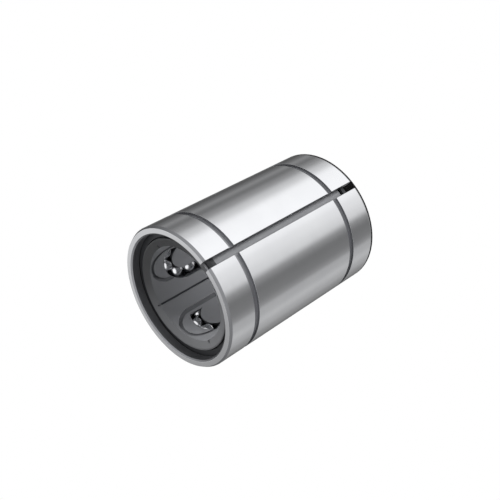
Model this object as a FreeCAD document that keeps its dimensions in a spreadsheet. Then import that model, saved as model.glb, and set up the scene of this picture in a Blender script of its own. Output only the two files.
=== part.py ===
import FreeCAD, Part
import math
import os
import Sketcher

doc = FreeCAD.newDocument("linear_ball_bushing")


# Driving dimensions in millimetres and degrees
SIZES = (
    ("body_length", 64, "from end face to end face"),
    ("outer_chamfer", 0.5, "bevel round each outer edge, across"),
    ("outer_chamfer_length", 0.8, "bevel round each outer edge, along the sleeve"),
    ("ring_groove_span", 44.5, "over the outer walls of the two outside grooves"),
    ("ring_groove_width", 1.85, "outside groove for a housing retaining ring"),
    ("ring_groove_depth", 1, "outside groove, below the ground surface"),
    ("slit_width", 2.5, "adjusting slit along the whole sleeve"),
    ("slit_angle", -90, "where the slit lies round the axis"),
    ("raceway_wall", 2.6875, "steel between a raceway land and the ground outside"),
    ("mouth_step", 0.1875, "from the raceway lands out to the mouth, which the retainer passes"),
    ("mouth_chamfer", 0.45, "bevel inside each end"),
    ("mouth_depth", 5.2, "from the end face to the turn relief"),
    ("relief_depth", 0.9375, "turn relief, outside the raceway lands"),
    ("shaft_diameter", 30, "shaft that the loaded rows roll on"),
    ("ball_diameter", 4.7625, "three sixteenths of an inch"),
    ("ball_gap", 0.25, "least gap between two balls of a circuit"),
    ("return_lift", 0.769, "how far the return row lies outside the loaded row"),
    ("turn_radius", 6.45, "half the distance between the two rows of a circuit"),
    ("turn_tilt", 8.8, "outward lean of each turn, which lifts the balls off the shaft"),
    ("turn_room", 0.9, "least distance from the track of a turn to the end of its relief"),
    ("circuit_count", 4, "circuits round the axis"),
    ("first_load_angle", 54.5, "from the slit to the loaded row of circuit 1"),
    ("raceway_clearance", 0.05, "between a loaded ball and its raceway land, with no shaft fitted"),
    ("track_clearance", 0.1, "between a ball and the retainer or a return groove"),
    ("retainer_gap", 0.18, "between the retainer and the raceway lands"),
    ("bore_gap", 0.2, "between the shaft and the bore of the retainer"),
    ("nose_gap", 0.4, "between the snap ring and the thin end of the retainer inside it"),
    ("nose_depth", 2.5, "from the end face to the end of the retainer"),
    ("nose_land", 0.4, "flat end of the retainer, round its lead-in bevel"),
    ("nose_bevel", 0.8, "lead-in bevel inside each end of the retainer, along it"),
    ("shoulder_depth", 4.6, "from the end face to the shoulder of the retainer"),
    ("window_width", 3.4, "opening through which the balls reach the shaft"),
    ("cover_margin", 0.2, "by which the wall over the return row passes the window's inner side"),
    ("contour_inset", 0.55, "from the row centres inwards to the moulded contour line"),
    ("contour_depth", 3.5, "from the end face to the end of the contour line"),
    ("contour_width", 1.2, "moulded line round each circuit"),
    ("contour_floor", 0.2, "wall left between the contour line and the return row"),
    ("seam_width", 0.6, "moulded line between two circuits"),
    ("seam_depth", 1, "moulded line between two circuits, below the bore"),
    ("seam_angle", 23, "from each loaded row to the moulded seam beside it"),
    ("snap_ring_depth", 3, "from the end face to the snap ring groove"),
    ("snap_ring_thickness", 1.2, "snap ring along the axis"),
    ("snap_ring_width", 2.35, "snap ring from its inside to its outside"),
    ("snap_ring_seat", 0.65, "depth of the snap ring in the wall of the mouth"),
    ("snap_ring_gap", 18, "open part of the snap ring, round the axis"),
    ("snap_ring_turn", 35, "from the slit to the middle of the snap ring's gap"),
    ("seat_clearance", 0.12, "between the snap ring and its groove"),
)

# Dimensions that follow from them
WORKED = (
    ("middle", "Sizes.body_length / 2"),
    ("ball_radius", "Sizes.ball_diameter / 2"),
    ("load_radius", "Sizes.shaft_diameter / 2 + ball_radius"),
    ("land_radius", "load_radius + ball_radius + Sizes.raceway_clearance"),
    ("outer_radius", "land_radius + Sizes.raceway_wall"),
    ("outer_diameter", "2 * outer_radius"),
    ("groove_bottom", "outer_radius - Sizes.ring_groove_depth"),
    ("groove_start", "(Sizes.body_length - Sizes.ring_groove_span) / 2"),
    ("groove_end", "groove_start + Sizes.ring_groove_width"),
    ("mouth_radius", "land_radius + Sizes.mouth_step"),
    ("relief_radius", "land_radius + Sizes.relief_depth"),
    ("return_radius", "load_radius + Sizes.return_lift"),
    ("track_radius", "ball_radius + Sizes.track_clearance"),
    ("turn_length", "pi * Sizes.turn_radius"),
    ("turn_balls", "floor(turn_length / (Sizes.ball_diameter + Sizes.ball_gap))"),
    ("ball_pitch", "turn_length / turn_balls"),
    ("turn_depth", "Sizes.mouth_depth + Sizes.turn_room + track_radius + Sizes.turn_radius"),
    ("row_balls", "floor((Sizes.body_length - 2 * turn_depth) / ball_pitch)"),
    ("row_length", "row_balls * ball_pitch"),
    ("row_start", "middle - row_length / 2"),
    ("row_end", "middle + row_length / 2"),
    ("row_distance", "2 * Sizes.turn_radius"),
    ("return_x", "(load_radius ^ 2 + return_radius ^ 2 - row_distance ^ 2) / (2 * load_radius)"),
    ("return_y", "-sqrt(return_radius ^ 2 - return_x ^ 2)"),
    ("turn_x", "(load_radius + return_x) / 2"),
    ("turn_y", "return_y / 2"),
    ("across_x", "(load_radius - return_x) / row_distance"),
    ("across_y", "-return_y / row_distance"),
    ("outward_x", "across_y"),
    ("outward_y", "-across_x"),
    ("first_angle", "Sizes.slit_angle + Sizes.first_load_angle"),
    ("return_angle", "first_angle - acos(return_x / return_radius) / 1 deg"),
    ("circuit_angle", "360 / Sizes.circuit_count"),
    ("window_radius", "Sizes.window_width / 2"),
    ("track_overlap", "3 * track_radius * sin(Sizes.turn_tilt)"),
    ("cover_reach", "Sizes.turn_radius + 2 * window_radius"),
    ("cover_edge", "Sizes.turn_radius - window_radius - Sizes.cover_margin"),
    ("retainer_radius", "land_radius - Sizes.retainer_gap"),
    ("retainer_bore", "Sizes.shaft_diameter / 2 + Sizes.bore_gap"),
    ("seam_bottom", "retainer_bore + Sizes.seam_depth"),
    ("contour_bottom", "return_radius - track_radius - Sizes.contour_floor"),
    ("contour_radius", "Sizes.turn_radius - Sizes.contour_inset + Sizes.contour_width / 2"),
    ("contour_reach", "middle - Sizes.contour_depth - contour_radius"),
    ("snap_seat_radius", "mouth_radius + Sizes.snap_ring_seat + Sizes.seat_clearance"),
    ("snap_seat_end", "Sizes.snap_ring_depth + Sizes.snap_ring_thickness + 2 * Sizes.seat_clearance"),
    ("snap_outer_radius", "mouth_radius + Sizes.snap_ring_seat"),
    ("snap_bore_radius", "snap_outer_radius - Sizes.snap_ring_width"),
    ("nose_radius", "snap_bore_radius - Sizes.nose_gap"),
    ("snap_start", "Sizes.snap_ring_depth + Sizes.seat_clearance"),
    ("snap_end", "snap_start + Sizes.snap_ring_thickness"),
)

sizes = doc.addObject("Spreadsheet::Sheet", "Sizes")
sizes.Label = "Sizes"
for row, (alias, number, meaning) in enumerate(SIZES, start=1):
    sizes.set("A%d" % row, meaning)
    sizes.set("B%d" % row, str(number))
    sizes.setAlias("B%d" % row, alias)
doc.recompute()

worked = doc.addObject("Spreadsheet::Sheet", "Worked")
worked.Label = "Worked"
for row, (alias, formula) in enumerate(WORKED, start=1):
    worked.set("A%d" % row, alias.replace("_", " "))
    worked.set("B%d" % row, "=" + formula)
    worked.setAlias("B%d" % row, alias)
    doc.recompute()

SIZE_NAMES = [alias for alias, number, meaning in SIZES]


def size(alias):
    """A number from either sheet."""
    sheet = sizes if alias in SIZE_NAMES else worked
    return float(sheet.get(alias))


def bind(item, **formulas):
    """Tie an object's properties to formulas; two underscores in a name stand for a dot."""
    for name, formula in formulas.items():
        item.setExpression(name.replace("__", "."), formula)


def body_plane(body, role):
    """One of the origin planes of a body."""
    return [feature for feature in body.Origin.OriginFeatures if feature.Role == role][0]


def closed_outline(sketch, corners):
    """Straight closed outline; each corner is a pair of formulas, from the axis and along it."""
    count = len(corners)
    points = [FreeCAD.Vector(value_of(across), value_of(along), 0) for across, along in corners]
    for index in range(count):
        edge = Part.LineSegment(points[index], points[(index + 1) % count])
        sketch.addGeometry(edge, False)
    for index in range(count):
        sketch.addConstraint(Sketcher.Constraint("Coincident", index, 2, (index + 1) % count, 1))
    for index, (across, along) in enumerate(corners):
        for kind, formula in (("DistanceX", across), ("DistanceY", along)):
            if formula == "0":
                axis = -2 if kind == "DistanceX" else -1
                sketch.addConstraint(Sketcher.Constraint("PointOnObject", index, 1, axis))
                continue
            number = sketch.addConstraint(
                Sketcher.Constraint(kind, -1, 1, index, 1, value_of(formula)))
            sketch.setExpression("Constraints[%d]" % number, formula)


def value_of(formula):
    """Present value of a formula on the two sheets."""
    probe.setExpression("Measure", formula)
    probe.recompute()
    return float(probe.Measure)


def turned_body(name, corners, turn_formula="360"):
    """A body turned from its half section, round the axis."""
    body = doc.addObject("PartDesign::Body", name)
    sketch = body.newObject("Sketcher::SketchObject", name + "_section")
    sketch.AttachmentSupport = [(body_plane(body, "XZ_Plane"), "")]
    sketch.MapMode = "FlatFace"
    closed_outline(sketch, corners)
    turned = body.newObject("PartDesign::Revolution", name + "_turned")
    turned.Profile = sketch
    turned.ReferenceAxis = (sketch, ["V_Axis"])
    turned.setExpression("Angle", turn_formula)
    body.Tip = turned
    doc.recompute()
    return body


def mirrored_along(corners):
    """The same corners measured from the other end face, in reverse order."""
    return [(across, "Sizes.body_length - (%s)" % along) for across, along in reversed(corners)]


# Carries one number, which value_of works out
probe = doc.addObject("App::FeaturePython", "Probe")
probe.addProperty("App::PropertyFloat", "Measure")


# Outer cylinder: a turned steel sleeve with its grooves, reliefs, raceway lands and slit
outside_half = [
    ("Worked.outer_radius - Sizes.outer_chamfer", "0"),
    ("Worked.outer_radius", "Sizes.outer_chamfer_length"),
    ("Worked.outer_radius", "Worked.groove_start"),
    ("Worked.groove_bottom", "Worked.groove_start"),
    ("Worked.groove_bottom", "Worked.groove_end"),
    ("Worked.outer_radius", "Worked.groove_end"),
]
inside_half = [
    ("Worked.land_radius", "Worked.row_start"),
    ("Worked.relief_radius", "Worked.row_start"),
    ("Worked.relief_radius", "Sizes.mouth_depth"),
    ("Worked.mouth_radius", "Sizes.mouth_depth"),
    ("Worked.mouth_radius", "Worked.snap_seat_end"),
    ("Worked.snap_seat_radius", "Worked.snap_seat_end"),
    ("Worked.snap_seat_radius", "Sizes.snap_ring_depth"),
    ("Worked.mouth_radius", "Sizes.snap_ring_depth"),
    ("Worked.mouth_radius", "Sizes.mouth_chamfer"),
    ("Worked.mouth_radius + Sizes.mouth_chamfer", "0"),
]
outer_cylinder = turned_body(
    "outer_cylinder",
    outside_half + mirrored_along(outside_half) + mirrored_along(inside_half) + inside_half)
turned_volume = outer_cylinder.Shape.Volume

slit_sketch = outer_cylinder.newObject("Sketcher::SketchObject", "slit_outline")
slit_sketch.AttachmentSupport = [(body_plane(outer_cylinder, "XY_Plane"), "")]
slit_sketch.MapMode = "FlatFace"
slit_sketch.AttachmentOffset = FreeCAD.Placement(
    FreeCAD.Vector(0, 0, 0), FreeCAD.Rotation(FreeCAD.Vector(0, 0, 1), size("slit_angle")))
slit_sketch.setExpression("AttachmentOffset.Rotation.Angle", "Sizes.slit_angle")
closed_outline(slit_sketch, [
    ("Worked.load_radius", "-Sizes.slit_width / 2"),
    ("Worked.outer_diameter", "-Sizes.slit_width / 2"),
    ("Worked.outer_diameter", "Sizes.slit_width / 2"),
    ("Worked.load_radius", "Sizes.slit_width / 2"),
])
slit = outer_cylinder.newObject("PartDesign::Pocket", "slit")
slit.Profile = slit_sketch
slit.Type = "ThroughAll"
slit.Reversed = True
outer_cylinder.Tip = slit
doc.recompute()
slit_volume = outer_cylinder.Shape.Volume
assert slit_volume < turned_volume, "the slit cuts nothing"

return_groove = outer_cylinder.newObject("PartDesign::SubtractiveCylinder", "return_groove")
bind(
    return_groove,
    Radius="Worked.track_radius",
    Height="Worked.row_length + 2 * Worked.track_radius",
    Placement__Base__x="Worked.return_radius * cos(Worked.return_angle)",
    Placement__Base__y="Worked.return_radius * sin(Worked.return_angle)",
    Placement__Base__z="Worked.row_start - Worked.track_radius")
outer_cylinder.Tip = return_groove
doc.recompute()
return_grooves = outer_cylinder.newObject("PartDesign::PolarPattern", "return_grooves")
return_grooves.Originals = [return_groove]
return_grooves.Axis = (body_plane(outer_cylinder, "Z_Axis"), [""])
return_grooves.Angle = 360
return_grooves.setExpression("Occurrences", "Sizes.circuit_count")
outer_cylinder.Tip = return_grooves
doc.recompute()
assert outer_cylinder.Shape.Volume < slit_volume, "the return grooves cut nothing"


# Snap rings: open rings that hold the retainer between its two shoulders
def snap_ring(name, start, end):
    """An open ring of flat section, which crosses the slit."""
    ring = turned_body(name, [
        ("Worked.snap_bore_radius", start),
        ("Worked.snap_outer_radius", start),
        ("Worked.snap_outer_radius", end),
        ("Worked.snap_bore_radius", end),
    ], "360 - Sizes.snap_ring_gap")
    ring.Placement.Rotation = FreeCAD.Rotation(FreeCAD.Vector(0, 0, 1), 1)
    ring.setExpression(
        "Placement.Rotation.Angle",
        "Sizes.slit_angle + Sizes.snap_ring_turn + Sizes.snap_ring_gap / 2")
    return ring


snap_ring_bottom = snap_ring("snap_ring_bottom", "Worked.snap_start", "Worked.snap_end")
snap_ring_top = snap_ring(
    "snap_ring_top",
    "Sizes.body_length - Worked.snap_end", "Sizes.body_length - Worked.snap_start")


# Ball retainer: a moulded tube with a thin nose at each end and a closed track for each circuit
blank_half = [
    ("Worked.retainer_bore", "Sizes.nose_depth + Sizes.nose_bevel"),
    ("Worked.nose_radius - Sizes.nose_land", "Sizes.nose_depth"),
    ("Worked.nose_radius", "Sizes.nose_depth"),
    ("Worked.nose_radius", "Sizes.shoulder_depth"),
    ("Worked.retainer_radius", "Sizes.shoulder_depth"),
]
retainer_blank = turned_body("retainer_blank", blank_half + mirrored_along(blank_half))


# In a circuit's own frame the loaded row lies on +X; "across" runs from the return row to the
# loaded row, and "outward" is square to it, away from the shaft
across_yaw = math.degrees(math.atan2(size("across_y"), size("across_x")))
lean = 90 + size("turn_tilt")


def row_cutter(name, radius, base_x, base_y):
    """A round cutter along one straight row."""
    cutter = doc.addObject("Part::Cylinder", name)
    bind(
        cutter,
        Radius=radius,
        Height="Worked.row_length + 2 * Worked.track_overlap",
        Placement__Base__x=base_x,
        Placement__Base__y=base_y,
        Placement__Base__z="Worked.row_start - Worked.track_overlap")
    return cutter


def turn_cutter(name, height, roll):
    """A round cutter bent round one turn, from the loaded row to the return row."""
    cutter = doc.addObject("Part::Torus", name)
    cutter.Placement.Rotation = FreeCAD.Rotation(across_yaw, 0, roll)
    bind(
        cutter,
        Radius1="Sizes.turn_radius",
        Radius2="Worked.track_radius",
        Placement__Base__x="Worked.turn_x",
        Placement__Base__y="Worked.turn_y",
        Placement__Base__z=height)
    cutter.Angle3 = 180
    return cutter


def racetrack(sketch, reach_formula, radius_formula):
    """Two straight sides and two half circles, centred on the sketch's origin."""
    reach = value_of(reach_formula)
    radius = value_of(radius_formula)
    first = sketch.GeometryCount
    up = FreeCAD.Vector(0, reach, 0)
    side = FreeCAD.Vector(radius, 0, 0)
    normal = FreeCAD.Vector(0, 0, 1)
    for centre, start, end in ((up, 0, math.pi), (up * -1, math.pi, 2 * math.pi)):
        sketch.addGeometry(Part.ArcOfCircle(Part.Circle(centre, normal, radius), start, end), False)
    sketch.addGeometry(Part.LineSegment(up * -1 - side, up - side), False)
    sketch.addGeometry(Part.LineSegment(up + side, up * -1 + side), False)
    upper, lower, left, right = range(first, first + 4)
    for one, one_end, other, other_end in (
            (upper, 2, left, 2), (left, 1, lower, 1), (lower, 2, right, 2), (right, 1, upper, 1)):
        sketch.addConstraint(Sketcher.Constraint("Tangent", one, one_end, other, other_end))
    sketch.addConstraint(Sketcher.Constraint("PointOnObject", upper, 3, -2))
    sketch.addConstraint(Sketcher.Constraint("PointOnObject", lower, 3, -2))
    for kind, place, formula in (
            ("DistanceY", (-1, 1, upper, 3), reach_formula),
            ("DistanceY", (lower, 3, -1, 1), reach_formula),
            ("Radius", (upper,), radius_formula)):
        number = sketch.addConstraint(Sketcher.Constraint(kind, *place, value_of(formula)))
        sketch.setExpression("Constraints[%d]" % number, formula)


def band(name, reach, outer_radius, inner_radius):
    """A racetrack wall square to the circuit's plane, reaching from that plane to the shaft."""
    sketch = doc.addObject("Sketcher::SketchObject", name + "_outline")
    sketch.Placement.Rotation = FreeCAD.Rotation(across_yaw, 0, 90)
    bind(
        sketch,
        Placement__Base__x="Worked.turn_x - Worked.load_radius / 2 * Worked.outward_x",
        Placement__Base__y="Worked.turn_y - Worked.load_radius / 2 * Worked.outward_y",
        Placement__Base__z="Worked.middle")
    racetrack(sketch, reach, outer_radius)
    racetrack(sketch, reach, inner_radius)
    wall = doc.addObject("Part::Extrusion", name)
    wall.Base = sketch
    wall.DirMode = "Normal"
    wall.Solid = True
    wall.setExpression("LengthFwd", "Worked.load_radius / 2")
    return wall


cutters = [
    row_cutter("load_track", "Worked.track_radius", "Worked.load_radius", "0"),
    row_cutter("return_track", "Worked.track_radius", "Worked.return_x", "Worked.return_y"),
    turn_cutter("top_turn_track", "Worked.row_end", lean),
    turn_cutter("bottom_turn_track", "Worked.row_start", -lean),
]

# Window: follows the loaded row and most of both turns, and leaves the return row covered
window_band = band(
    "window_band", "Worked.row_length / 2",
    "Sizes.turn_radius + Worked.window_radius", "Sizes.turn_radius - Worked.window_radius")
window_cover = doc.addObject("Part::Box", "window_cover")
window_cover.Placement.Rotation = FreeCAD.Rotation(across_yaw, 0, 0)
cover_base = (
    "Worked.turn_%s - Worked.cover_reach * Worked.across_%s"
    " + Worked.ball_radius * Worked.outward_%s")
bind(
    window_cover,
    Length="Worked.cover_reach - Worked.cover_edge",
    Width="Worked.load_radius",
    Height="Sizes.body_length",
    Placement__Base__x=cover_base % ("x", "x", "x"),
    Placement__Base__y=cover_base % ("y", "y", "y"))
window = doc.addObject("Part::Cut", "window")
window.Base = window_band
window.Tool = window_cover
cutters.append(window)

# Moulded contour line: a racetrack that only scores the bore of the retainer, as the seam does
contour_band = band(
    "contour_band", "Worked.contour_reach",
    "Worked.contour_radius", "Worked.contour_radius - Sizes.contour_width")
contour_core = doc.addObject("Part::Cylinder", "contour_core")
bind(contour_core, Radius="Worked.contour_bottom", Height="Sizes.body_length")
contour_line = doc.addObject("Part::Common", "contour_line")
contour_line.Base = contour_band
contour_line.Tool = contour_core
cutters.append(contour_line)

seam_line = doc.addObject("Part::Box", "seam_line")
seam_line.Placement.Rotation = FreeCAD.Rotation(FreeCAD.Vector(0, 0, 1), size("seam_angle"))
bind(
    seam_line,
    Length="Worked.seam_bottom",
    Width="Sizes.seam_width",
    Height="Sizes.body_length",
    Placement__Base__x="Sizes.seam_width / 2 * sin(Sizes.seam_angle)",
    Placement__Base__y="-Sizes.seam_width / 2 * cos(Sizes.seam_angle)",
    Placement__Rotation__Angle="Sizes.seam_angle")
seam_hollow = doc.addObject("Part::Cylinder", "seam_hollow")
bind(seam_hollow, Radius="Sizes.shaft_diameter / 2", Height="Sizes.body_length")
seam_score = doc.addObject("Part::Cut", "seam_score")
seam_score.Base = seam_line
seam_score.Tool = seam_hollow
cutters.append(seam_score)

circuit_cutter = doc.addObject("Part::MultiFuse", "circuit_cutter")
circuit_cutter.Shapes = cutters
doc.recompute()


def at_circuit(pattern, name, number):
    """A copy of a circuit's pattern, turned round the axis to circuit 1, 2, 3 and so on."""
    copy = doc.addObject("Part::Compound", name)
    copy.Links = [pattern]
    copy.Placement.Rotation = FreeCAD.Rotation(FreeCAD.Vector(0, 0, 1), 1)
    copy.setExpression(
        "Placement.Rotation.Angle", "Worked.first_angle + %d * Worked.circuit_angle" % (number - 1))
    return copy


circuits = range(1, int(size("circuit_count")) + 1)
all_cutters = doc.addObject("Part::Compound", "all_cutters")
all_cutters.Links = [at_circuit(circuit_cutter, "cutter_%d" % number, number) for number in circuits]
ball_retainer = doc.addObject("Part::Cut", "ball_retainer")
ball_retainer.Base = retainer_blank
ball_retainer.Tool = all_cutters
doc.recompute()


# Balls: each straight row and each turn of a circuit is one group
def ball(name, base_x, base_y, base_z):
    """One steel ball."""
    sphere = doc.addObject("Part::Sphere", name)
    bind(
        sphere,
        Radius="Worked.ball_radius",
        Placement__Base__x=base_x,
        Placement__Base__y=base_y,
        Placement__Base__z=base_z)
    return sphere


def row_pattern(name, base_x, base_y):
    """The balls of a straight row, in the circuit's own frame."""
    pattern = doc.addObject("Part::Compound", name)
    pattern.Links = [
        ball(
            "%s_%d" % (name, index + 1), base_x, base_y,
            "Worked.row_start + (%d + 0.5) * Worked.ball_pitch" % index)
        for index in range(int(size("row_balls")))]
    return pattern


def turn_pattern(name, end, sign):
    """The balls of one turn, in the circuit's own frame."""
    pattern = doc.addObject("Part::Compound", name)
    balls = []
    for index in range(int(size("turn_balls"))):
        angle = "(%d + 0.5) * 180 / Worked.turn_balls" % index
        along_row = "cos(%s)" % angle
        past_row = "sin(%s)" % angle
        lift = "%s * sin(Sizes.turn_tilt)" % past_row
        place = (
            "Worked.turn_%s"
            " + Sizes.turn_radius * (%s * Worked.across_%s + %s * Worked.outward_%s)")
        balls.append(ball(
            "%s_%d" % (name, index + 1),
            place % ("x", along_row, "x", lift, "x"),
            place % ("y", along_row, "y", lift, "y"),
            "%s %s Sizes.turn_radius * %s * cos(Sizes.turn_tilt)" % (end, sign, past_row)))
    pattern.Links = balls
    return pattern


patterns = {
    "load_balls": row_pattern("load_row", "Worked.load_radius", "0"),
    "return_balls": row_pattern("return_row", "Worked.return_x", "Worked.return_y"),
    "top_turn_balls": turn_pattern("top_turn", "Worked.row_end", "+"),
    "bottom_turn_balls": turn_pattern("bottom_turn", "Worked.row_start", "-"),
}
pieces = [outer_cylinder, ball_retainer, snap_ring_top, snap_ring_bottom]
for group_name, pattern in patterns.items():
    for number in circuits:
        pieces.append(at_circuit(pattern, "%s_%d" % (group_name, number), number))
doc.recompute()


# Every object has to be sound before anything is written
for item in doc.Objects:
    for fault in ("Invalid", "Error"):
        assert fault not in item.State, "%s is %s" % (item.Label, fault)
for piece in pieces:
    assert not piece.Shape.isNull() and piece.Shape.isValid(), piece.Label + " has no sound shape"
    assert piece.Shape.Solids, piece.Label + " holds no solid"

os.makedirs("parts", exist_ok=True)
for piece in pieces:
    piece.Shape.exportStep(os.path.join("parts", piece.Label + ".step"))
    print(piece.Label, len(piece.Shape.Solids), "solids", round(piece.Shape.Volume, 1), "mm3")
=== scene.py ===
"""Looks of a linear ball bushing that stands on its end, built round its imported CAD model."""
import logging
import math
from collections.abc import Sequence
from dataclasses import dataclass
from enum import Enum

import bpy
from mathutils import Matrix, Vector


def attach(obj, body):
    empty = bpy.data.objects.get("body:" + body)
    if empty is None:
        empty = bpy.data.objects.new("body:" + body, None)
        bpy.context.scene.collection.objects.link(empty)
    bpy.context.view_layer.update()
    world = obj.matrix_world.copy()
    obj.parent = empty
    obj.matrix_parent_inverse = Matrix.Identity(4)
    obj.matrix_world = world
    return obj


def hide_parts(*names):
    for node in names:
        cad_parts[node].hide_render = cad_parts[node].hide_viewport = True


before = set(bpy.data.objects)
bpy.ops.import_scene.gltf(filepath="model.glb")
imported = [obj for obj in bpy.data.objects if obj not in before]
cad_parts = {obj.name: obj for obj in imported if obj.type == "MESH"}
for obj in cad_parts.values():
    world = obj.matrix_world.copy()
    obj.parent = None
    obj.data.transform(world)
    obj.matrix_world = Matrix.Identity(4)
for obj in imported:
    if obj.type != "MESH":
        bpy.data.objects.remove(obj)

log = logging.getLogger("ball_bushing")

MILLIMETRE = 0.001
SLEEVE_BODY = "sleeve"
# Numbers of the Mix node's colour sockets, whose names are shared with other kinds of value
MIX_FIRST, MIX_SECOND, MIX_RESULT = 6, 7, 2
# Distance between the slow changes of a finish's colour, in millimetres
DRIFT_SPACING_MM = 10.0
# How fine the noise of the slow changes and that of the fine marks are
DRIFT_DETAIL = 3.0
MARK_DETAIL = 2.0
# Noise values between which the roughness goes from its least to its most
NOISE_LOW, NOISE_HIGH = 0.3, 0.7
# Over which the painted shade in the hollows grows where it begins, and fades where it ends, in
# millimetres
SHADE_START_FADE_MM = 0.2
SHADE_END_FADE_MM = 0.5
# Where the painted shade beside the slit's walls begins, as a share of the slit's half width
SLIT_SHADE_START = 1 / 3
WHITE = (1.0, 1.0, 1.0, 1.0)


def linear_colour(hex_value: str) -> tuple[float, float, float, float]:
    """Turns an sRGB hex colour into linear light, by the curve of the sRGB standard.

    Args:
        hex_value: Six hex digits after a hash sign.

    Returns:
        Red, green, blue and an alpha of 1.
    """
    channels = [int(hex_value[start:start + 2], 16) / 255 for start in (1, 3, 5)]
    linear = [c / 12.92 if c <= 0.04045 else ((c + 0.055) / 1.055) ** 2.4 for c in channels]
    return (linear[0], linear[1], linear[2], 1.0)


def add_node(
    tree: bpy.types.NodeTree,
    kind: str,
    settings: dict[str, object] | None = None,
    inputs: dict[str | int, object] | None = None,
) -> bpy.types.Node:
    """Adds one node with its settings, and sets or links its inputs.

    Args:
        tree: Node tree that gets the node.
        kind: Blender's name for the node type.
        settings: Attribute values of the node.
        inputs: Socket name or number to a value, or to the output socket that feeds it.

    Returns:
        The new node.
    """
    node = tree.nodes.new(kind)
    for name, value in (settings or {}).items():
        setattr(node, name, value)
    for name, value in (inputs or {}).items():
        if isinstance(value, bpy.types.NodeSocket):
            tree.links.new(value, node.inputs[name])
        else:
            node.inputs[name].default_value = value
    return node


def grey(level: float) -> tuple[float, float, float, float]:
    """Makes a grey of a brightness in linear light, which may be over 1."""
    return (level, level, level, 1.0)


def empty_material(name: str) -> bpy.types.Material:
    """Makes a node material with nothing in it.

    Args:
        name: Name of the material.

    Returns:
        The new material.
    """
    made = bpy.data.materials.new(name)
    made.use_nodes = True
    made.node_tree.nodes.clear()
    return made


def mesh_object(
    name: str, vertices: Sequence[Vector], faces: Sequence[Sequence[int]]
) -> bpy.types.Object:
    """Makes a smooth-shaded mesh object in the scene.

    Args:
        name: Name of the object and its mesh.
        vertices: Corners in millimetres, in the part's own frame.
        faces: Corner numbers of each face.

    Returns:
        The new object.
    """
    mesh = bpy.data.meshes.new(name)
    mesh.from_pydata([tuple(corner * MILLIMETRE) for corner in vertices], [], faces)
    mesh.shade_smooth()
    made = bpy.data.objects.new(name, mesh)
    bpy.context.scene.collection.objects.link(made)
    return made


def on_circle(radius: float, azimuth: float, height: float) -> Vector:
    """Finds the point at a distance from the axis, an angle from +X in radians and a height."""
    return Vector((radius * math.cos(azimuth), radius * math.sin(azimuth), height))


class SteelWork(Enum):
    """How a surface of the sleeve was finished, as the number of its material."""

    GROUND = 0
    TURNED = 1
    SKIN = 2


class LineDirection(Enum):
    """Which way the fine marks of a surface run: how far they stretch along each axis."""

    ROUND_THE_AXIS = (0.03, 0.03, 1.0)
    ANY = (1.0, 1.0, 1.0)


@dataclass(frozen=True)
class Finish:
    """A surface finish: colour with slow changes, and fine marks in relief and gloss.

    Attributes:
        name: Material name.
        colour: sRGB hex colour.
        second_colour: sRGB hex colour that it slowly changes to and back.
        metallic: 1 for bare metal, 0 for plastic.
        roughness: Mean roughness.
        roughness_spread: How far the roughness strays either way.
        marks: Which way the fine marks run.
        mark_spacing_mm: Distance between the marks.
        mark_depth_mm: Height of the marks.
    """

    name: str
    colour: str
    second_colour: str
    metallic: float
    roughness: float
    roughness_spread: float
    marks: LineDirection
    mark_spacing_mm: float
    mark_depth_mm: float

    def add_colour(
        self, tree: bpy.types.NodeTree, place: bpy.types.NodeSocket
    ) -> bpy.types.NodeSocket:
        """Adds the nodes that set the colour.

        Args:
            tree: Node tree of the material.
            place: Socket with the place on the object.

        Returns:
            Socket with the colour.
        """
        drift = add_node(
            tree, "ShaderNodeTexNoise", inputs={
                "Vector": place, "Detail": DRIFT_DETAIL,
                "Scale": 1 / (DRIFT_SPACING_MM * MILLIMETRE)})
        colour = add_node(
            tree, "ShaderNodeMix", {"data_type": "RGBA"}, {
                "Factor": drift.outputs["Fac"],
                MIX_FIRST: linear_colour(self.colour),
                MIX_SECOND: linear_colour(self.second_colour)})
        return colour.outputs[MIX_RESULT]

    def material(self) -> bpy.types.Material:
        """Builds the node material.

        Returns:
            The new material.
        """
        made = empty_material(self.name)
        tree = made.node_tree
        place = add_node(tree, "ShaderNodeTexCoord").outputs["Object"]
        stretched = add_node(
            tree, "ShaderNodeVectorMath", {"operation": "MULTIPLY"},
            {0: place, 1: self.marks.value})
        marks = add_node(
            tree, "ShaderNodeTexNoise", inputs={
                "Vector": stretched.outputs["Vector"], "Detail": MARK_DETAIL,
                "Scale": 1 / (self.mark_spacing_mm * MILLIMETRE)})
        gloss = add_node(
            tree, "ShaderNodeMapRange", inputs={
                "Value": marks.outputs["Fac"], "From Min": NOISE_LOW, "From Max": NOISE_HIGH,
                "To Min": self.roughness - self.roughness_spread,
                "To Max": self.roughness + self.roughness_spread})
        relief = add_node(
            tree, "ShaderNodeBump", inputs={
                "Height": marks.outputs["Fac"], "Distance": self.mark_depth_mm * MILLIMETRE})
        shader = add_node(
            tree, "ShaderNodeBsdfPrincipled", inputs={
                "Base Color": self.add_colour(tree, place), "Metallic": self.metallic,
                "Roughness": gloss.outputs["Result"], "Normal": relief.outputs["Normal"]})
        add_node(tree, "ShaderNodeOutputMaterial", inputs={"Surface": shader.outputs["BSDF"]})
        return made


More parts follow.
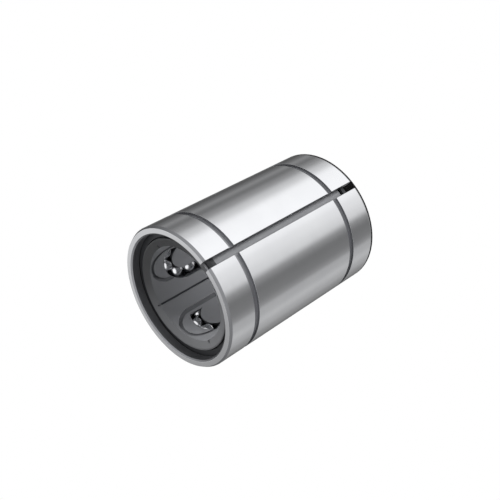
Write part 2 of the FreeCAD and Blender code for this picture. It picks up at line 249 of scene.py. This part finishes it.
@dataclass(frozen=True)
class PaintedShadeFinish(Finish):
    """A finish for a bored part in a slit sleeve, with painted shade on some of it.

    The painted shade lies in every hollow of the bore's wall, and outside along the slit's walls.

    Attributes:
        painted_shade_colour: sRGB hex colour of the painted shade.
        shade_start_mm: Distance from the axis where the painted shade begins.
        shade_end_mm: Distance from the axis where it has gone again, short of the outside.
        middle_mm: Height of the middle of the part.
        shade_reach_mm: How far the painted shade reaches from there, either way.
        slit_half_mm: Half the width of the slit, which lies along the axis at X = 0.
        slit_shade: How strong the painted shade is beside the slit's walls, from 0 to 1.
    """

    painted_shade_colour: str
    shade_start_mm: float
    shade_end_mm: float
    middle_mm: float
    shade_reach_mm: float
    slit_half_mm: float
    slit_shade: float

    def add_colour(
        self, tree: bpy.types.NodeTree, place: bpy.types.NodeSocket
    ) -> bpy.types.NodeSocket:
        """Adds the nodes that set the colour, bare and under the painted shade.

        Args:
            tree: Node tree of the material.
            place: Socket with the place on the object.

        Returns:
            Socket with the colour.
        """
        # The acetal's own colour, with painted shade laid over it in the hollows and beside the
        # slit's walls
        unshaded_colour = super().add_colour(tree, place)
        across = add_node(
            tree, "ShaderNodeVectorMath", {"operation": "MULTIPLY"},
            {0: place, 1: (1.0, 1.0, 0.0)})
        radius = add_node(
            tree, "ShaderNodeVectorMath", {"operation": "LENGTH"}, {0: across.outputs["Vector"]})
        parts = add_node(tree, "ShaderNodeSeparateXYZ", inputs={"Vector": place})
        painted_shade = add_node(
            tree, "ShaderNodeMath", {"operation": "MAXIMUM"}, {
                0: self.add_hollow_shade(tree, radius.outputs["Value"], parts.outputs["Z"]),
                1: self.add_slit_shade(tree, radius.outputs["Value"], parts.outputs["X"])})
        colour = add_node(
            tree, "ShaderNodeMix", {"data_type": "RGBA"}, {
                "Factor": painted_shade.outputs["Value"], MIX_FIRST: unshaded_colour,
                MIX_SECOND: linear_colour(self.painted_shade_colour)})
        return colour.outputs[MIX_RESULT]

    def add_hollow_shade(
        self, tree: bpy.types.NodeTree, radius: bpy.types.NodeSocket, height: bpy.types.NodeSocket
    ) -> bpy.types.NodeSocket:
        """Adds the nodes for the painted shade in the hollows of the bore's wall.

        Args:
            tree: Node tree of the material.
            radius: Socket with the distance from the axis.
            height: Socket with the height.

        Returns:
            Socket with how strong the painted shade is, from 0 to 1.
        """
        # Painted shade: darker where the wall lies deeper than the bore's surface, in the windows,
        # tracks and lines
        begun = add_node(
            tree, "ShaderNodeMapRange", inputs={
                "Value": radius, "From Min": self.shade_start_mm * MILLIMETRE,
                "From Max": (self.shade_start_mm + SHADE_START_FADE_MM) * MILLIMETRE})
        inside = add_node(
            tree, "ShaderNodeMapRange", inputs={
                "Value": radius, "From Min": (self.shade_end_mm - SHADE_END_FADE_MM) * MILLIMETRE,
                "From Max": self.shade_end_mm * MILLIMETRE, "To Min": 1.0, "To Max": 0.0})
        near_middle = add_node(
            tree, "ShaderNodeMath", {"operation": "COMPARE"}, {
                0: height, 1: self.middle_mm * MILLIMETRE, 2: self.shade_reach_mm * MILLIMETRE})
        at_this_depth = add_node(
            tree, "ShaderNodeMath", {"operation": "MULTIPLY"},
            {0: begun.outputs["Result"], 1: inside.outputs["Result"]})
        painted_shade = add_node(
            tree, "ShaderNodeMath", {"operation": "MULTIPLY"},
            {0: at_this_depth.outputs["Value"], 1: near_middle.outputs["Value"]})
        return painted_shade.outputs["Value"]

    def add_slit_shade(
        self, tree: bpy.types.NodeTree, radius: bpy.types.NodeSocket, sideways: bpy.types.NodeSocket
    ) -> bpy.types.NodeSocket:
        """Adds the nodes for the painted shade outside, along the walls of the slit.

        Args:
            tree: Node tree of the material.
            radius: Socket with the distance from the axis.
            sideways: Socket with the place across the slit.

        Returns:
            Socket with how strong the painted shade is, from 0 to 1.
        """
        # Painted shade: the retainer's outside grows darker towards the slit's walls
        off_middle = add_node(tree, "ShaderNodeMath", {"operation": "ABSOLUTE"}, {0: sideways})
        by_the_wall = add_node(
            tree, "ShaderNodeMapRange", inputs={
                "Value": off_middle.outputs["Value"],
                "From Min": self.slit_half_mm * SLIT_SHADE_START * MILLIMETRE,
                "From Max": self.slit_half_mm * MILLIMETRE, "To Max": self.slit_shade})
        outside = add_node(
            tree, "ShaderNodeMath", {"operation": "GREATER_THAN"},
            {0: radius, 1: self.shade_end_mm * MILLIMETRE})
        painted_shade = add_node(
            tree, "ShaderNodeMath", {"operation": "MULTIPLY"},
            {0: by_the_wall.outputs["Result"], 1: outside.outputs["Value"]})
        return painted_shade.outputs["Value"]


# Bearing steel, hardened and ground: a bright, slightly soft mirror that shows the studio as
# bands along the sleeve. The grinding lines are coarser than real ones, so that they show.
GROUND_BEARING_STEEL = Finish(
    name="ground_bearing_steel", colour="#DEDFE1", second_colour="#D4D5D8", metallic=1.0,
    roughness=0.16, roughness_spread=0.03, marks=LineDirection.ROUND_THE_AXIS,
    mark_spacing_mm=0.5, mark_depth_mm=0.0014)
# The same steel where it was turned after hardening: the grooves of the outside, darker and
# duller than the ground surface, so that they show as soft grey lines
TURNED_BEARING_STEEL = Finish(
    name="turned_bearing_steel", colour="#9FA0A3", second_colour="#959699", metallic=1.0,
    roughness=0.38, roughness_spread=0.05, marks=LineDirection.ROUND_THE_AXIS,
    mark_spacing_mm=0.25, mark_depth_mm=0.002)
# The same steel where it was turned before hardening and left so: a dull dark skin on the
# bevels, on the slit's walls and inside
HARDENED_STEEL_SKIN = Finish(
    name="hardened_steel_skin", colour="#8C8D90", second_colour="#828386", metallic=1.0,
    roughness=0.48, roughness_spread=0.06, marks=LineDirection.ROUND_THE_AXIS,
    mark_spacing_mm=0.25, mark_depth_mm=0.002)
# Bearing steel, lapped and oiled: bright, with small highlights that are a little soft
LAPPED_BALL_STEEL = Finish(
    name="lapped_ball_steel", colour="#E0E1E3", second_colour="#D8D9DB", metallic=1.0,
    roughness=0.2, roughness_spread=0.02, marks=LineDirection.ANY,
    mark_spacing_mm=0.4, mark_depth_mm=0.0001)
# Spring steel stamped from oiled strip: dark, and blurred in what it mirrors
BLACKENED_SPRING_STEEL = Finish(
    name="blackened_spring_steel", colour="#4A4B4D", second_colour="#424345", metallic=1.0,
    roughness=0.42, roughness_spread=0.06, marks=LineDirection.ANY,
    mark_spacing_mm=0.6, mark_depth_mm=0.002)
# Acetal, moulded: mid grey with the sheen of a running part. Painted shade in its hollows
# draws the windows and the lines of the ball circuits dark, and painted shade also darkens it
# along the slit's walls, between which the retainer shows as a pale strip.
MOULDED_ACETAL = PaintedShadeFinish(
    name="moulded_acetal", colour="#858689", second_colour="#8F9093", metallic=0.0,
    roughness=0.45, roughness_spread=0.08, marks=LineDirection.ANY,
    mark_spacing_mm=0.5, mark_depth_mm=0.004,
    painted_shade_colour="#4A4B4E", shade_start_mm=15.35, shade_end_mm=19.0, middle_mm=32.0,
    shade_reach_mm=27.7, slit_half_mm=1.25, slit_shade=0.5)


@dataclass
class Sleeve:
    """The turned outer cylinder: grooves, mouths, reliefs, raceway lands and adjusting slit.

    Lengths are in millimetres and angles in degrees. Heights are those of the lower half: the
    upper half is its mirror image.
    """

    outer_radius: float = 22.5
    length: float = 64.0
    bevel_across: float = 0.5
    bevel_along: float = 0.8
    groove_start: float = 9.75
    groove_end: float = 11.6
    groove_bottom: float = 21.5
    mouth_radius: float = 20.0
    mouth_bevel: float = 0.45
    mouth_end: float = 5.2
    ring_seat_start: float = 3.0
    ring_seat_end: float = 4.44
    ring_seat_radius: float = 20.77
    relief_radius: float = 20.75
    land_start: float = 16.803
    land_radius: float = 19.8125
    slit_width: float = 2.5
    slit_azimuth: float = -90.0
    return_azimuths: tuple[float, ...] = (-78.0, 12.0, 102.0, 192.0)
    return_radius: float = 18.150
    return_track_radius: float = 2.48125
    edge_radius: float = 0.1
    edge_segments: int = 2
    sharp_angle: float = 25.0
    columns: int = 480

    def half_outline(self, land_radius: float) -> list[tuple[float, float]]:
        """Lists the section's corners in the lower half, from the inside to the outside.

        Args:
            land_radius: Inner radius between the reliefs, at this place round the axis.

        Returns:
            Radius and height of each corner.
        """
        return [
            (land_radius, self.land_start),
            (self.relief_radius, self.land_start),
            (self.relief_radius, self.mouth_end),
            (self.mouth_radius, self.mouth_end),
            (self.mouth_radius, self.ring_seat_end),
            (self.ring_seat_radius, self.ring_seat_end),
            (self.ring_seat_radius, self.ring_seat_start),
            (self.mouth_radius, self.ring_seat_start),
            (self.mouth_radius, self.mouth_bevel),
            (self.mouth_radius + self.mouth_bevel, 0.0),
            (self.outer_radius - self.bevel_across, 0.0),
            (self.outer_radius, self.bevel_along),
            (self.outer_radius, self.groove_start),
            (self.groove_bottom, self.groove_start),
            (self.groove_bottom, self.groove_end),
            (self.outer_radius, self.groove_end),
        ]

    def outline(self, land_radius: float) -> list[tuple[float, float]]:
        """Closes the section at a land radius: the lower half and its mirror image."""
        lower = self.half_outline(land_radius)
        return lower + [(radius, self.length - height) for radius, height in reversed(lower)]

    def azimuth_at(self, share: float, radius: float) -> float:
        """Finds the angle from +X in radians, at a share of the way round from wall to wall."""
        # The walls of the slit are parallel, so its half angle depends on the radius
        half_angle = math.asin(self.slit_width / 2 / radius)
        return math.radians(self.slit_azimuth) + half_angle + share * 2 * (math.pi - half_angle)

    def land_radius_at(self, azimuth: float) -> float:
        """Finds the inner radius between the reliefs, with the grooves for the return rows.

        Args:
            azimuth: Angle from +X in radians.

        Returns:
            Radius in millimetres.
        """
        deepest = self.land_radius
        for groove_azimuth in self.return_azimuths:
            offset = azimuth - math.radians(groove_azimuth)
            sideways = self.return_radius * math.sin(offset)
            if math.cos(offset) > 0 and abs(sideways) < self.return_track_radius:
                reach = math.sqrt(self.return_track_radius ** 2 - sideways ** 2)
                deepest = max(deepest, self.return_radius * math.cos(offset) + reach)
        return deepest

    def work_between(self, one: tuple[float, float], other: tuple[float, float]) -> SteelWork:
        """Says how the surface between two corners of the section was finished.

        Args:
            one: Radius and height of a corner.
            other: Radius and height of the next corner.

        Returns:
            Ground on the outside, the end faces and the raceway lands, turned in the grooves of
            the outside, and skin elsewhere.
        """
        outside = one[0] == other[0] == self.outer_radius
        end_face = one[1] == other[1] and one[1] in (0.0, self.length)
        land = self.land_start == min(one[1], other[1]) and one[0] == other[0]
        if outside or end_face or land:
            return SteelWork.GROUND
        if self.groove_bottom in (one[0], other[0]):
            return SteelWork.TURNED
        return SteelWork.SKIN

    def build(self) -> bpy.types.Object:
        """Turns the section round the axis, from one wall of the slit to the other.

        Returns:
            The sleeve, with its sharp edges broken by a small round.
        """
        section = self.outline(self.land_radius)
        rows = len(section)
        vertices = []
        for column in range(self.columns + 1):
            share = column / self.columns
            land_radius = self.land_radius_at(self.azimuth_at(share, self.land_radius))
            for radius, height in self.outline(land_radius):
                vertices.append(on_circle(radius, self.azimuth_at(share, radius), height))
        faces = []
        works = []
        for column in range(self.columns):
            near, far = column * rows, (column + 1) * rows
            for row in range(rows):
                after = (row + 1) % rows
                faces.append((near + row, near + after, far + after, far + row))
                works.append(self.work_between(section[row], section[after]))
        last = self.columns * rows
        faces.append(tuple(reversed(range(rows))))
        faces.append(tuple(range(last, last + rows)))
        works += [SteelWork.SKIN, SteelWork.SKIN]
        made = mesh_object("sleeve_shell", vertices, faces)
        made.data.polygons.foreach_set("material_index", [work.value for work in works])
        rounding = made.modifiers.new("edge_rounding", "BEVEL")
        rounding.width = self.edge_radius * MILLIMETRE
        rounding.segments = self.edge_segments
        rounding.angle_limit = math.radians(self.sharp_angle)
        rounding.harden_normals = True
        return made

    def dress(self) -> bpy.types.Object:
        """Builds the sleeve and gives it its steels.

        Returns:
            The finished sleeve.
        """
        made = self.build()
        for finish in (GROUND_BEARING_STEEL, TURNED_BEARING_STEEL, HARDENED_STEEL_SKIN):
            made.data.materials.append(finish.material())
        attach(made, SLEEVE_BODY)
        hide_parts("outer_cylinder")
        return made


@dataclass
class BallCircuits:
    """All groups of balls, as true spheres where the CAD balls lie.

    Lengths are in millimetres and angles in degrees.
    """

    circuits: int = 4
    first_azimuth: float = -35.5
    load_radius: float = 17.38125
    return_radius: float = 18.15025
    turn_radius: float = 6.45
    turn_tilt: float = 8.8
    row_balls: int = 6
    turn_balls: int = 4
    middle: float = 32.0
    ball_radius: float = 2.38125
    rings: int = 24

    def places(self) -> dict[str, list[Vector]]:
        """Lists the balls of one circuit, whose loaded row lies on +X.

        Returns:
            Ball centres of each group, in millimetres.
        """
        pitch = math.pi * self.turn_radius / self.turn_balls
        distance = 2 * self.turn_radius
        # The return row lies on its own circle, the width of a turn away from the loaded row
        return_x = (
            (self.load_radius ** 2 + self.return_radius ** 2 - distance ** 2)
            / (2 * self.load_radius))
        load = Vector((self.load_radius, 0, 0))
        back = Vector((return_x, -math.sqrt(self.return_radius ** 2 - return_x ** 2), 0))
        across = (load - back) / distance
        outward = Vector((across.y, -across.x, 0))
        half = self.row_balls * pitch / 2
        heights = [self.middle - half + (index + 0.5) * pitch for index in range(self.row_balls)]
        tilt = math.radians(self.turn_tilt)
        turns: dict[int, list[Vector]] = {1: [], -1: []}
        for way, turn in turns.items():
            centre = (load + back) / 2 + Vector((0, 0, self.middle + way * half))
            for index in range(self.turn_balls):
                angle = (index + 0.5) * math.pi / self.turn_balls
                lean = math.sin(tilt) * outward + way * math.cos(tilt) * Vector((0, 0, 1))
                turn.append(
                    centre + self.turn_radius * (math.cos(angle) * across + math.sin(angle) * lean))
        return {
            "load_balls": [load + Vector((0, 0, height)) for height in heights],
            "return_balls": [back + Vector((0, 0, height)) for height in heights],
            "top_turn_balls": turns[1],
            "bottom_turn_balls": turns[-1],
        }

    def build_group(self, name: str, centres: Sequence[Vector]) -> bpy.types.Object:
        """Makes one group of balls as one mesh.

        Args:
            name: Name of the new object.
            centres: Ball centres in millimetres.

        Returns:
            The group.
        """
        vertices: list[Vector] = []
        faces: list[tuple[int, ...]] = []
        columns = 2 * self.rings
        pole = Vector((0, 0, self.ball_radius))
        for centre in centres:
            base = len(vertices)
            top = base + 1
            vertices += [centre - pole, centre + pole]
            first = base + 2
            for ring in range(1, self.rings):
                fall = math.pi * ring / self.rings
                for column in range(columns):
                    vertices.append(centre + on_circle(
                        self.ball_radius * math.sin(fall), 2 * math.pi * column / columns,
                        -self.ball_radius * math.cos(fall)))
            last = first + (self.rings - 2) * columns
            for column in range(columns):
                after = (column + 1) % columns
                faces.append((base, first + after, first + column))
                faces.append((top, last + column, last + after))
                for low in range(first, last, columns):
                    faces.append((
                        low + column, low + after, low + columns + after, low + columns + column))
        return mesh_object(name, vertices, faces)

    def dress(self) -> list[bpy.types.Object]:
        """Builds every group and gives it its steel.

        Returns:
            The finished groups.
        """
        steel = LAPPED_BALL_STEEL.material()
        made = []
        for group, centres in self.places().items():
            for number in range(1, self.circuits + 1):
                turn = self.first_azimuth + (number - 1) * 360 / self.circuits
                spin = Matrix.Rotation(math.radians(turn), 3, "Z")
                node_name = f"{group}_{number}"
                turned = [spin @ centre for centre in centres]
                piece = self.build_group(f"{node_name}_lapped", turned)
                piece.data.materials.append(steel)
                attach(piece, node_name)
                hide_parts(node_name)
                made.append(piece)
        return made


@dataclass(frozen=True)
class Lamp:
    """A soft lamp that shapes the plastic; neither the camera nor any mirror shows it.

    Attributes:
        name: Name of the lamp.
        azimuth: Where it hangs, in degrees from +X.
        elevation: How high it hangs over the horizon, in degrees.
        distance: Distance from the point that it faces, in metres.
        power: Power in watts.
        width: Size across, in metres.
        height: Size upwards, in metres.
        aim_height: Height of the point on the axis that it faces, in metres.
        spread: Full angle of its beam, in degrees.
    """

    name: str
    azimuth: float
    elevation: float
    distance: float
    power: float
    width: float
    height: float
    aim_height: float = 0.032
    spread: float = 180.0

    def build(self) -> None:
        """Hangs the lamp."""
        lamp = bpy.data.lights.new(self.name, "AREA")
        lamp.shape = "ELLIPSE"
        lamp.energy = self.power
        lamp.size = self.width
        lamp.size_y = self.height
        lamp.spread = math.radians(self.spread)
        holder = bpy.data.objects.new(self.name, lamp)
        bpy.context.scene.collection.objects.link(holder)
        rise = math.radians(self.elevation)
        outwards = on_circle(math.cos(rise), math.radians(self.azimuth), math.sin(rise))
        holder.location = Vector((0, 0, self.aim_height)) + self.distance * outwards
        holder.rotation_euler = (-outwards).to_track_quat("-Z", "Y").to_euler()
        holder.visible_camera = False
        holder.visible_glossy = False


@dataclass
class Studio:
    """Floor, surroundings, lamps and camera. Lengths are in metres, those of the lens apart.

    Attributes:
        floor_half: Half the side of the floor.
        shaded_radius: Radius of the round of floor that the part stands on.
        paper_colour: sRGB hex colour of the floor, for the light that it throws back.
        shade_colour: sRGB hex colour of the floor under the part, seen through its bore.
        camera_place: Where the camera stands.
        camera_aim: Direction in which it looks.
        camera_up: Direction of the picture's top.
        lens_mm: Focal length.
        sensor_mm: Width of the sensor.
        cards: Brightness of the surroundings by azimuth, in degrees: what the steel mirrors
            from the height of the horizon down, as white and grey cards would be.
        ceiling: The same for what lies overhead, which the end face mirrors.
        ceiling_start: Height of a direction, from -1 to 1, where the cards begin to give way to
            the ceiling.
        ceiling_full: Height where only the ceiling is left.
        paper: Brightness of the paper straight below, which the lower bevel mirrors.
        paper_start: Height of a direction where the cards begin to give way to the paper.
        paper_full: Height where only the paper is left.
        even_light: Brightness of the surroundings for all that doesn't mirror.
        lamps: Lamps that light the plastics and the floor.
    """

    floor_half: float = 1.5
    shaded_radius: float = 0.0225
    paper_colour: str = "#F2F2F2"
    shade_colour: str = "#505050"
    camera_place: tuple[float, float, float] = (-0.034188, -0.199754, 0.185591)
    camera_aim: tuple[float, float, float] = (0.14146, 0.78392, -0.60454)
    camera_up: tuple[float, float, float] = (0.80570, -0.44599, -0.38980)
    lens_mm: float = 58.5
    sensor_mm: float = 36.0
    cards: tuple[tuple[float, float], ...] = (
        (-180, 0.36), (-165, 0.25), (-148, 0.22), (-138, 0.32), (-124, 0.90), (-104, 1.05),
        (-88, 1.25), (-70, 1.35), (-38, 1.30), (-20, 0.78), (-4, 0.36), (10, 0.20), (22, 0.33),
        (34, 0.18), (48, 0.10), (62, 0.17), (78, 0.25), (98, 0.16), (122, 0.32), (140, 0.50),
        (156, 0.64), (168, 0.54))
    ceiling: tuple[tuple[float, float], ...] = (
        (-180, 1.3), (50, 1.3), (66, 1.0), (76, 0.78), (88, 0.38), (110, 0.40), (140, 1.3))
    ceiling_start: float = 0.25
    ceiling_full: float = 0.42
    paper: float = 0.9
    paper_start: float = -0.84
    paper_full: float = -0.95
    even_light: float = 0.07
    lamps: tuple[Lamp, ...] = (
        Lamp(
            "side_lamp", azimuth=-5.0, elevation=21.0, distance=0.8, power=4.0,
            width=0.35, height=0.25),
        Lamp(
            "front_lamp", azimuth=-91.0, elevation=-2.0, distance=0.8, power=10.0,
            width=0.60, height=0.20),
        Lamp(
            "paper_glow", azimuth=0.0, elevation=-90.0, distance=0.0318, power=0.0085,
            width=0.02, height=0.02, spread=75.0),
    )

    def build_floor(self) -> None:
        """Lays the pale floor.

        The camera sees plain white, and a shaded round where the part stands. The rest of the
        scene sees paper, but what mirrors looks through it to the surroundings below the horizon.
        """
        half = self.floor_half / MILLIMETRE
        corners = [Vector((x, y, 0)) for x, y in (
            (-half, -half), (half, -half), (half, half), (-half, half))]
        floor = mesh_object("floor", corners, [(0, 1, 2, 3)])
        material = empty_material("pale_floor")
        tree = material.node_tree
        path = add_node(tree, "ShaderNodeLightPath")
        place = add_node(tree, "ShaderNodeTexCoord").outputs["Object"]
        distance = add_node(tree, "ShaderNodeVectorMath", {"operation": "LENGTH"}, {0: place})
        in_the_open = add_node(
            tree, "ShaderNodeMath", {"operation": "GREATER_THAN"},
            {0: distance.outputs["Value"], 1: self.shaded_radius})
        paper = add_node(
            tree, "ShaderNodeBsdfDiffuse", inputs={"Color": linear_colour(self.paper_colour)})
        shade = add_node(
            tree, "ShaderNodeBsdfDiffuse", inputs={"Color": linear_colour(self.shade_colour)})
        white = add_node(tree, "ShaderNodeEmission", inputs={"Color": WHITE})
        lit = add_node(
            tree, "ShaderNodeMixShader", inputs={
                0: in_the_open.outputs["Value"], 1: shade.outputs["BSDF"],
                2: white.outputs["Emission"]})
        seen = add_node(
            tree, "ShaderNodeMixShader", inputs={
                0: path.outputs["Is Camera Ray"], 1: paper.outputs["BSDF"],
                2: lit.outputs["Shader"]})
        clear = add_node(tree, "ShaderNodeBsdfTransparent")
        mirrored = add_node(
            tree, "ShaderNodeMixShader", inputs={
                0: path.outputs["Is Glossy Ray"], 1: seen.outputs["Shader"],
                2: clear.outputs["BSDF"]})
        add_node(tree, "ShaderNodeOutputMaterial", inputs={"Surface": mirrored.outputs["Shader"]})
        floor.data.materials.append(material)

    def add_ramp(
        self,
        tree: bpy.types.NodeTree,
        turn: bpy.types.NodeSocket,
        levels: tuple[tuple[float, float], ...],
    ) -> bpy.types.NodeSocket:
        """Adds a grey ramp by azimuth.

        Args:
            tree: Node tree of the world.
            turn: Socket with the azimuth, from 0 at -180 degrees to 1 at 180 degrees.
            levels: Azimuth in degrees and brightness of each stop.

        Returns:
            Socket with the brightness.
        """
        ramp = add_node(tree, "ShaderNodeValToRGB", inputs={"Fac": turn})
        stops = ramp.color_ramp.elements
        ramp.color_ramp.interpolation = "EASE"
        stops.remove(stops[1])
        for index, (azimuth, level) in enumerate(levels):
            position = (azimuth + 180) / 360
            stop = stops.new(position) if index else stops[0]
            stop.position = position
            stop.color = grey(level)
        return ramp.outputs["Color"]

    def build_surroundings(self) -> None:
        """Sets the world: white for the camera, cards for what mirrors, else an even light."""
        world = bpy.data.worlds.new("soft_studio")
        bpy.context.scene.world = world
        world.use_nodes = True
        tree = world.node_tree
        tree.nodes.clear()
        direction = add_node(tree, "ShaderNodeTexCoord").outputs["Generated"]
        parts = add_node(tree, "ShaderNodeSeparateXYZ", inputs={"Vector": direction})
        azimuth = add_node(
            tree, "ShaderNodeMath", {"operation": "ARCTAN2"},
            {0: parts.outputs["Y"], 1: parts.outputs["X"]})
        turn = add_node(
            tree, "ShaderNodeMapRange", inputs={
                "Value": azimuth.outputs["Value"], "From Min": -math.pi, "From Max": math.pi})
        height = add_node(
            tree, "ShaderNodeMapRange", {"interpolation_type": "SMOOTHSTEP"}, {
                "Value": parts.outputs["Z"], "From Min": self.ceiling_start,
                "From Max": self.ceiling_full})
        mirrored = add_node(
            tree, "ShaderNodeMix", {"data_type": "RGBA"}, {
                "Factor": height.outputs["Result"],
                MIX_FIRST: self.add_ramp(tree, turn.outputs["Result"], self.cards),
                MIX_SECOND: self.add_ramp(tree, turn.outputs["Result"], self.ceiling)})
        depth = add_node(
            tree, "ShaderNodeMapRange", {"interpolation_type": "SMOOTHSTEP"}, {
                "Value": parts.outputs["Z"], "From Min": self.paper_start,
                "From Max": self.paper_full})
        mirrored = add_node(
            tree, "ShaderNodeMix", {"data_type": "RGBA"}, {
                "Factor": depth.outputs["Result"],
                MIX_FIRST: mirrored.outputs[MIX_RESULT],
                MIX_SECOND: grey(self.paper)})
        path = add_node(tree, "ShaderNodeLightPath")
        even = add_node(
            tree, "ShaderNodeMix", {"data_type": "RGBA"}, {
                "Factor": path.outputs["Is Camera Ray"],
                MIX_FIRST: grey(self.even_light), MIX_SECOND: WHITE})
        light = add_node(
            tree, "ShaderNodeMix", {"data_type": "RGBA"}, {
                "Factor": path.outputs["Is Glossy Ray"],
                MIX_FIRST: even.outputs[MIX_RESULT],
                MIX_SECOND: mirrored.outputs[MIX_RESULT]})
        back = add_node(
            tree, "ShaderNodeBackground", inputs={"Color": light.outputs[MIX_RESULT]})
        add_node(tree, "ShaderNodeOutputWorld", inputs={"Surface": back.outputs["Background"]})

    def build_camera(self) -> None:
        """Puts the camera where the photograph was taken from, with the same roll."""
        lens = bpy.data.cameras.new("photo_view")
        lens.lens = self.lens_mm
        lens.sensor_width = self.sensor_mm
        camera = bpy.data.objects.new("photo_view", lens)
        bpy.context.scene.collection.objects.link(camera)
        back = -Vector(self.camera_aim).normalized()
        side = Vector(self.camera_up).cross(back).normalized()
        turn = Matrix((side, back.cross(side), back)).transposed().to_4x4()
        camera.matrix_world = Matrix.Translation(Vector(self.camera_place)) @ turn
        bpy.context.scene.camera = camera

    def build(self) -> None:
        """Builds everything that isn't the part."""
        self.build_floor()
        self.build_surroundings()
        for lamp in self.lamps:
            lamp.build()
        self.build_camera()
        bpy.context.scene.view_settings.view_transform = "Standard"
        log.info("studio: %d lamps", len(self.lamps))


@dataclass(frozen=True)
class PackedPiece:
    """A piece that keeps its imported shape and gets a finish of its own.

    Attributes:
        node_name: Name of its node.
        finish: Its finish.
    """

    node_name: str
    finish: Finish

    def dress(self) -> None:
        """Gives the node its finish, in place of the one that it was packed with."""
        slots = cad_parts[self.node_name].material_slots
        slots[0].material = self.finish.material()
        log.info("%s: %s", self.node_name, self.finish.name)


RETAINER_AND_RINGS = (
    PackedPiece("ball_retainer", MOULDED_ACETAL),
    PackedPiece("snap_ring_top", BLACKENED_SPRING_STEEL),
    PackedPiece("snap_ring_bottom", BLACKENED_SPRING_STEEL),
)


def main() -> None:
    """Builds the studio and the pieces of the bushing, in order."""
    logging.basicConfig(level=logging.INFO, format="%(message)s")
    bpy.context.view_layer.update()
    Studio().build()
    sleeve = Sleeve().dress()
    log.info("%s: %d faces", sleeve.name, len(sleeve.data.polygons))
    for group in BallCircuits().dress():
        log.info("%s: %d faces", group.name, len(group.data.polygons))
    for piece in RETAINER_AND_RINGS:
        piece.dress()


if __name__ == "__main__":
    main()
